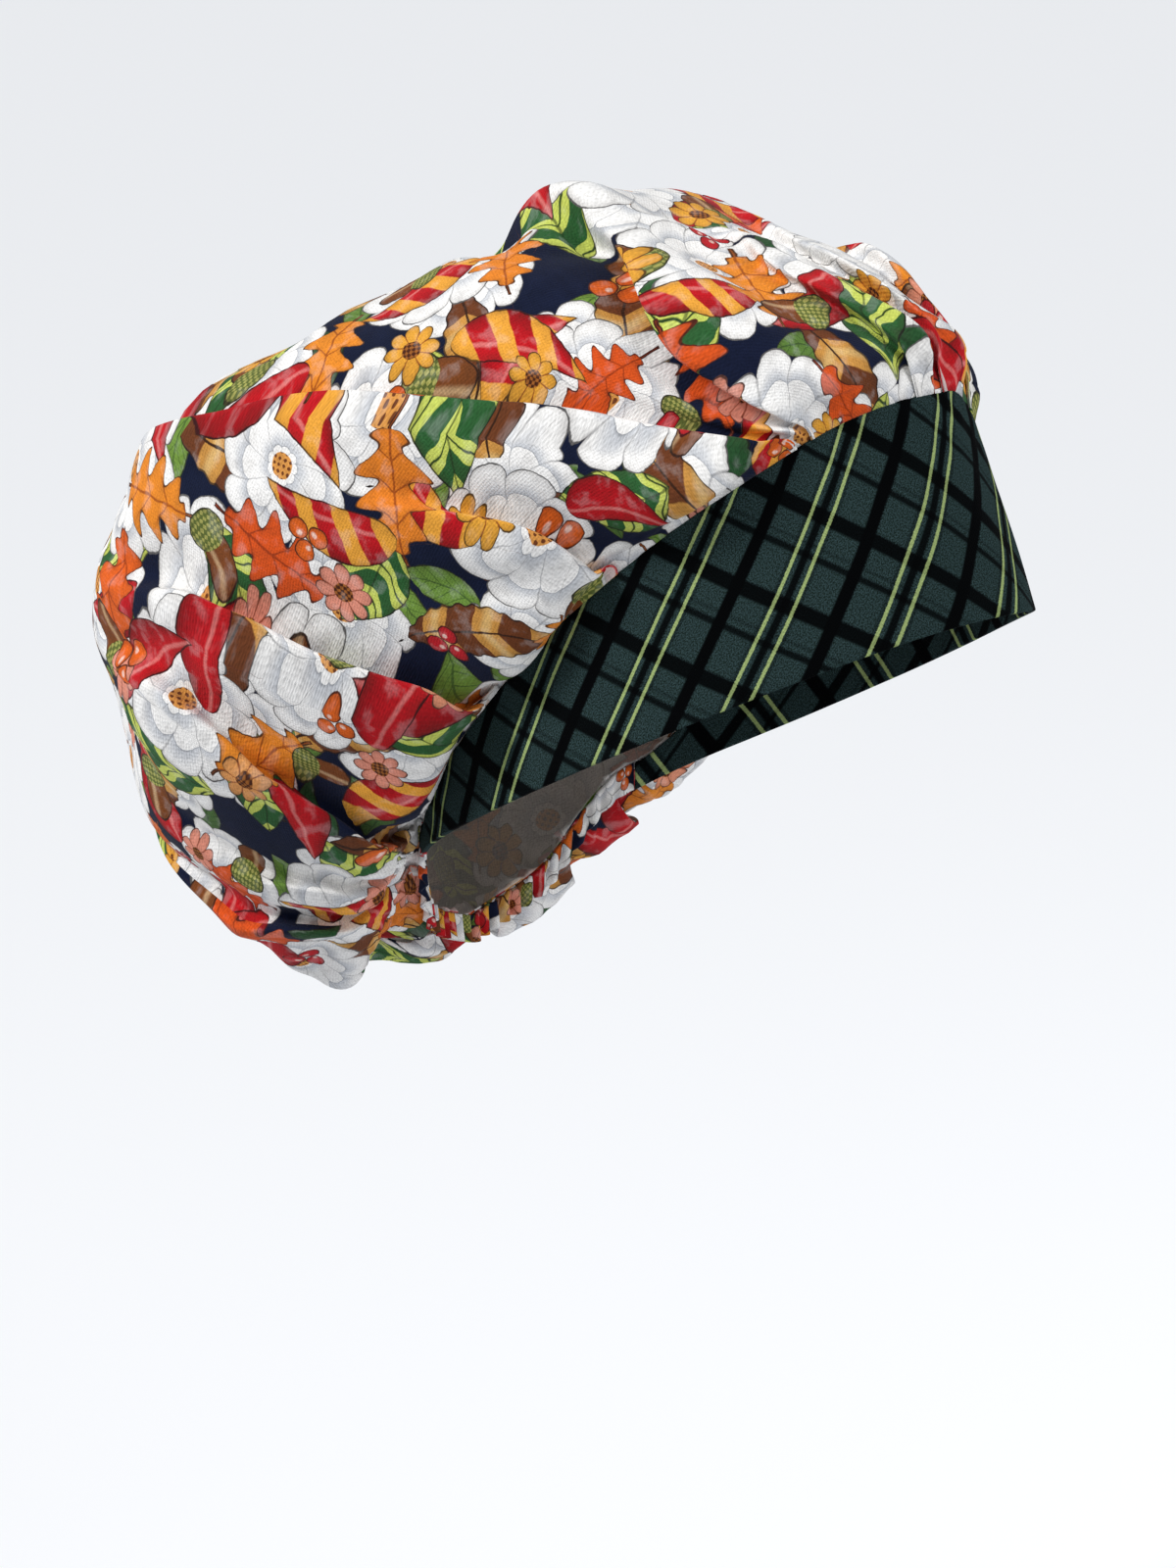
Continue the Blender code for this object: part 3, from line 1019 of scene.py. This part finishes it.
def acorn(x, y, chance):
    """A brown acorn in a cross-hatched cup."""
    nut = (radius((x - 2.0) / 8.0, y / 5.2) - 1.0) * 5.2
    cup = (radius((x + 4.8) / 4.6, y / 6.8) - 1.0) * 4.8
    hatch = ((x + y) * 2.1).of("SINE") * ((x - y) * 2.1).of("SINE")
    cup_colour = blend(hatch.step(-0.1, 0.3), "5F6B33", "A5A45A")
    nut_colour = blend((y + 1.8).line(0.8, 0.7) * 0.5, "7A4421", "E9C79A")
    in_cup = cup.step(-0.1, 0.1, 1.0, 0.0)
    return blend(in_cup, nut_colour, cup_colour), nut.of("MINIMUM", cup)


# %% Leaves and feathers
def striped_leaf(x, y, chance):
    """A pointed leaf with chevron stripes of two greens."""
    bent = (y - x * x * 0.012).of("ABSOLUTE")
    half = swell(x, 20.0) * 10.0
    wavy = x + bent * 0.9 + (bent * 0.8 + chance * 6.0).of("SINE") * 0.8
    stripe = (wavy / 12.0).of("PINGPONG", 0.5)
    green = blend(stripe.step(0.24, 0.26), "2C5C31", "C6D162")
    lined = blend((0.5 - stripe).line(0.03, 0.02), green, "27401F")
    return blend(bent.line(0.3, 0.15) * 0.7, lined, "20351C"), (bent - half) * 0.85


def plain_leaf(x, y, chance):
    """A plain green leaf that fills the ground."""
    bent = (y - x * x * 0.02).of("ABSOLUTE")
    half = swell(x, 13.0) * 5.2
    green = blend(chance.step(0.3, 0.7), "274F2D", "6E8F3C")
    side_veins = ((x - bent * 1.1) / 3.2).of("PINGPONG", 0.5).line(0.05, 0.04)
    veins = either(side_veins, bent.line(0.25, 0.12))
    return blend(veins * 0.6, green, "1D3A20"), bent - half


def oak_leaf(x, y, chance):
    """A lobed oak leaf, rust to orange."""
    across = y.of("ABSOLUTE")
    lobes = ((x + across * 0.35) * 0.84).of("COSINE") * 0.30 + 0.70
    half = swell(x, 14.5).of("MAXIMUM", 0.0).of("SQRT") * 10.5 * lobes
    stalk = (across - 0.5).of("MAXIMUM", x.of("ABSOLUTE") - 18.0)
    side_veins = ((x - across * 0.8) / 7.48).of("PINGPONG", 0.5).line(0.035, 0.03)
    veins = either(side_veins * across.step(8.0, 2.0), across.line(0.3, 0.2))
    orange = blend(chance.step(0.4, 0.6), "D9541E", "E58A2B")
    return blend(veins * 0.7, orange, "7C2A12"), ((across - half) * 0.75).of("MINIMUM", stalk)


def feather(x, y, chance):
    """A barred feather in brown, tan and ochre."""
    bent = (y + x * x * 0.006).of("ABSOLUTE")
    half = swell(x, 25.0).of("MAXIMUM", 0.0).of("POWER", 0.7) * 8.5
    outline = bent - half - (x * 1.3).of("SINE") * 0.35
    stripe = ((x - bent * 0.5) / 17.0 + chance).of("FRACT")
    tan = blend(stripe.step(0.47, 0.5), "C88F45", "6A3A20")
    pale = blend((stripe - 0.25).line(0.08, 0.06) * 0.7, tan, "DDB878")
    return blend(bent.line(0.35, 0.15), pale, "3B2216"), outline * 0.8


# %% The print, layer on layer
# Columns: motif, spacing (mm), shift, disorder of the places
LAYERS = (
    (plain_leaf, 30.0, 3.1, 0.8),
    (bloom, 49.0, 0.4, 0.3),
    (feather, 60.0, 5.7, 0.5),
    (striped_leaf, 60.0, 1.9, 0.5),
    (bloom, 66.0, 6.6, 0.4),
    (pod, 54.0, 0.6, 0.5),
    (oak_leaf, 58.0, 2.6, 0.6),
    (pod, 88.0, 3.7, 0.6),
    (acorn, 62.0, 4.4, 0.7),
    (small_flower, 50.0, 9.5, 0.7),
    (berries, 60.0, 2.3, 0.7),
)
motifs = {
    motif: group(
        motif.__name__,
        (("X", "number"), ("Y", "number"), ("Chance", "number")),
        (("Colour", "colour"), ("Distance", "number")),
        motif,
    )
    for motif in dict.fromkeys(row[0] for row in LAYERS)
}
print("motifs:", [motif.__name__ for motif in motifs])

# %% The printed colour
STIR = 0.0014  # metres by which the cloth's place is stirred, for a hand-drawn line


def print_formula(cloth):
    tree = cloth.tree
    blot = noise_of(cloth, 170.0, 4.0)
    place = blot["Color"].vector("MULTIPLY_ADD", (STIR, STIR, 0.0), cloth)
    colour = blend(blot["Fac"], "0C1226", "161E38")
    for motif, spacing, shift, disorder in LAYERS:
        spot = use(tree, scatter, Cloth=place, Spacing=spacing, Shift=shift, Disorder=disorder)
        drawn = use(tree, motifs[motif], **spot)
        colour = use(tree, ink, Under=colour, Wash=blot["Fac"], **drawn)["Colour"]
    return (colour,)


autumn_print = group("autumn print", (("Cloth", "vector"),), (("Colour", "colour"),), print_formula)
print("print nodes:", sum(len(tree.nodes) for tree in bpy.data.node_groups))

# %% [markdown]
# ## The tartan
#
# The band is cut on the bias, so its stripes cross it at a slant. Lime lines run one way only, in
# pairs with a black stripe between them. Broad black stripes run midway between the pairs and
# across them, and thin double lines cross in between.

# %% Tartan
# Slants from the lower edge, then pitches and places in millimetres. LIME_OFFSET and EDGE_OFFSET
# are counted from the middle of a pair, and TWIN_OFFSET from a thin line to its twin.
LIME_SLANT = math.radians(58.0)
CROSS_SLANT = math.radians(37.0)
PAIR_PITCH = 38.2
PAIR_CENTRE = 5.3
CROSS_PITCH = 24.8
CROSS_CENTRE = 2.6
THIN_OFFSET = 14.0
LIME_OFFSET = 3.8
TWIN_OFFSET = 2.8
EDGE_OFFSET = 5.2
FUZZ = 0.5


def stripe_place(value, pitch, centre):
    """Distance from the nearest stripe centre, from minus half a pitch to half a pitch."""
    return (value - centre + pitch / 2).of("FLOORED_MODULO", pitch) - pitch / 2


def tartan_formula(cloth):
    grain = noise_of(cloth, 2200.0, 1.0)["Fac"] - 0.5
    x, y = (part * 1000.0 for part in cloth.split()[:2])
    p = x * math.sin(LIME_SLANT) - y * math.cos(LIME_SLANT) + grain * FUZZ
    q = x * math.sin(CROSS_SLANT) + y * math.cos(CROSS_SLANT) + grain * FUZZ
    pair = stripe_place(p, PAIR_PITCH, PAIR_CENTRE)
    broad = stripe_place(p, PAIR_PITCH, PAIR_CENTRE + PAIR_PITCH / 2)
    cross = stripe_place(q, CROSS_PITCH, CROSS_CENTRE)
    thin = stripe_place(q, CROSS_PITCH, CROSS_CENTRE + THIN_OFFSET)
    green = blend(grain.step(-0.14, 0.14), "17231F", "304244")
    dark = pair.line(1.4, 0.5) * 0.95
    for mark in (
        broad.line(2.4, 0.5),
        cross.line(2.1, 0.5) * 0.97,
        thin.line(0.9, 0.5) * 0.9,
        (thin - TWIN_OFFSET).line(0.5, 0.4) * 0.35,
        (pair.of("ABSOLUTE") - EDGE_OFFSET).line(0.6, 0.4) * 0.45,
    ):
        dark = 1.0 - (1.0 - dark) * (1.0 - mark)
    lime = (pair.of("ABSOLUTE") - LIME_OFFSET).line(0.65, 0.12) * (1.0 - dark * 0.25)
    return (blend(lime, blend(dark, green, "020304"), "96A86C"),)


tartan = group("tartan", (("Cloth", "vector"),), (("Colour", "colour"),), tartan_formula)
print("tartan nodes:", len(tartan.nodes))

# %% [markdown]
# ## Cotton
#
# All three pieces share one cotton surface: a plain weave of fine threads, some of them thicker
# than others, with a little fuzz that catches light at a grazing angle. The weave is a group that
# gives a shade and a height, and each material adds its own colour.

# %% Weave
THREADS_PER_METRE = 1700.0


def weave_formula(cloth):
    uneven = noise_of(cloth, 1500.0, 1.0)["Fac"] - 0.5
    warp, weft = (
        (part * (math.pi * THREADS_PER_METRE) + uneven * 2.0).of("SINE")
        for part in cloth.split()[:2]
    )
    threads = warp * weft
    return threads * 0.09 + uneven * 0.5 + 1.0, threads * 0.5 + uneven * 1.6


weave = group(
    "weave", (("Cloth", "vector"),), (("Shade", "number"), ("Height", "number")), weave_formula
)
print("weave nodes:", len(weave.nodes))


# %% Cotton
def cotton(name, pattern, gloss, sheen, fade=0.0):
    """A matt cotton with a pattern; fade makes it the pale back of a printed cloth."""
    material = bpy.data.materials.new(name)
    material.use_nodes = True
    tree = material.node_tree
    surface = tree.nodes["Principled BSDF"]
    for title, value in (
        ("Roughness", 0.88),
        ("Specular IOR Level", gloss),
        ("Sheen Weight", sheen),
        ("Sheen Roughness", 0.5),
    ):
        feed(surface.inputs[title], value)
    flat = tree.nodes.new("ShaderNodeUVMap")
    flat.uv_map = "cloth"
    cloth = Wire(tree, flat.outputs[0])
    colour = use(tree, pattern, Cloth=cloth)["Colour"]
    threads = use(tree, weave, Cloth=cloth)
    if fade:
        colour = blend(fade, colour, "E6E3DE")
    feed(surface.inputs["Base Color"], colour.vector("SCALE", threads["Shade"]))
    bump = tree.nodes.new("ShaderNodeBump")
    for title, value in (("Strength", 0.35), ("Distance", 0.0003), ("Height", threads["Height"])):
        feed(bump.inputs[title], value)
    feed(surface.inputs["Normal"], Wire(tree, bump.outputs[0]))
    return material


print_cotton = cotton("printed cotton", autumn_print, 0.08, 0.04)
print_back = cotton("printed cotton back", autumn_print, 0.08, 0.04, fade=0.66)
tartan_cotton = cotton("tartan cotton", tartan, 0.03, 0.005)
bag.data.materials.append(print_cotton)
bag.data.materials.append(print_back)
wall.material_offset = 1
wall.material_offset_rim = 0
band.data.materials.append(tartan_cotton)
hem.data.materials.append(print_cotton)
print("cottons:", [cloth.name for cloth in (print_cotton, print_back, tartan_cotton)])

# %% Riding and replacing
for piece, node, slot in (
    (bag, "bouffant_crown", "crown_cotton"),
    (band, "forehead_band", "band_cotton"),
    (hem, "nape_hem", "hem_cotton"),
):
    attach(piece, "root")
    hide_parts(node)
    print(piece.name, "takes the place of", node)

# %% [markdown]
# ## Floor and light
#
# Cotton looks soft in broad light, yet its folds need some direction. A soft sun from the upper
# left makes the folds read, a wide lamp in front fills them a little, and a pale sky lifts the
# shadows. The camera sees the floor and the sky paler than the cap does, so that the ground stays
# light in the picture while the cap's underside stays in shade.

# %% Floor
FLOOR_DROP = 0.45
FLOOR_HALF = 8.0


def seen_or_felt(tree):
    """1 for what the camera sees directly, 0 for light that bounces on."""
    return Wire(tree, tree.nodes.new("ShaderNodeLightPath").outputs["Is Camera Ray"])


floor_shape = bmesh.new()
bmesh.ops.create_grid(floor_shape, x_segments=1, y_segments=1, size=FLOOR_HALF)
bmesh.ops.translate(floor_shape, verts=floor_shape.verts, vec=(0, 0, -FLOOR_DROP))
floor_mesh = bpy.data.meshes.new("floor")
floor_shape.to_mesh(floor_mesh)
floor_shape.free()
floor = add("floor", floor_mesh)
pale = bpy.data.materials.new("pale floor")
pale.use_nodes = True
board = pale.node_tree.nodes["Principled BSDF"]
feed(board.inputs["Roughness"], 0.9)
feed(board.inputs["Base Color"], blend(seen_or_felt(pale.node_tree), "C6C8CC", "F8F9FB"))
floor_mesh.materials.append(pale)
print("floor:", FLOOR_DROP, "m below the brow")


# %% Lamps
def lamp(name, kind, place, size, power):
    """A sun whose size is an angle in degrees, or an area lamp whose size is in metres."""
    light = add(name, bpy.data.lights.new(name, kind))
    if kind == "SUN":
        light.data.angle = math.radians(size)
    else:
        light.data.size = size
    light.data.energy = power
    look_from(light, Vector(place), VIEW_CENTRE)
    print(name, "lamp:", power)


lamp("key", "SUN", (-1.3, 0.7, 1.1), 18.0, 2.75)
lamp("fill", "AREA", (0.2, -1.7, 0.9), 1.2, 18)

# %% Sky
SKY_FELT = 0.36
SKY_SEEN = 0.5  # what the camera sees on top of that

world = bpy.data.worlds.new("studio")
bpy.context.scene.world = world
world.use_nodes = True
sky = world.node_tree.nodes["Background"]
sky.inputs["Color"].default_value = (0.93, 0.96, 1.0, 1)
feed(sky.inputs["Strength"], seen_or_felt(world.node_tree) * SKY_SEEN + SKY_FELT)
bpy.context.scene.view_settings.view_transform = "Standard"
print("sky:", SKY_FELT)
